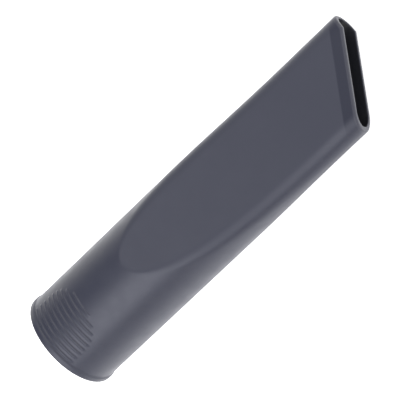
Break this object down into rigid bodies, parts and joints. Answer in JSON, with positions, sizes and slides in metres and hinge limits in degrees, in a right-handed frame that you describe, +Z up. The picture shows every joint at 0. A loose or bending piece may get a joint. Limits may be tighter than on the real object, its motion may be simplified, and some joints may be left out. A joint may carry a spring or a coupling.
{
  "type": "vacuum crevice tool",
  "caption": "Moulded vacuum crevice tool: round push-fit socket with grip ribs, running through hollow flats into a thin blade with a slanting slot mouth.",
  "frame": {"origin": "middle of the footprint of the tool as it lies at rest, on the surface below it", "axes": "+X along the tool from the socket towards the tip, +Z up, the long side of the slanting mouth on +Y"},
  "size_m": [0.1566, 0.0398, 0.0442],
  "materials": {
    "body_plastic": "slate grey moulded plastic with a fine satin texture, smoother in a band along the mouth"
  },
  "bodies": {
    "root": {"crevice_tool": "body_plastic"}
  },
  "joints": []
}
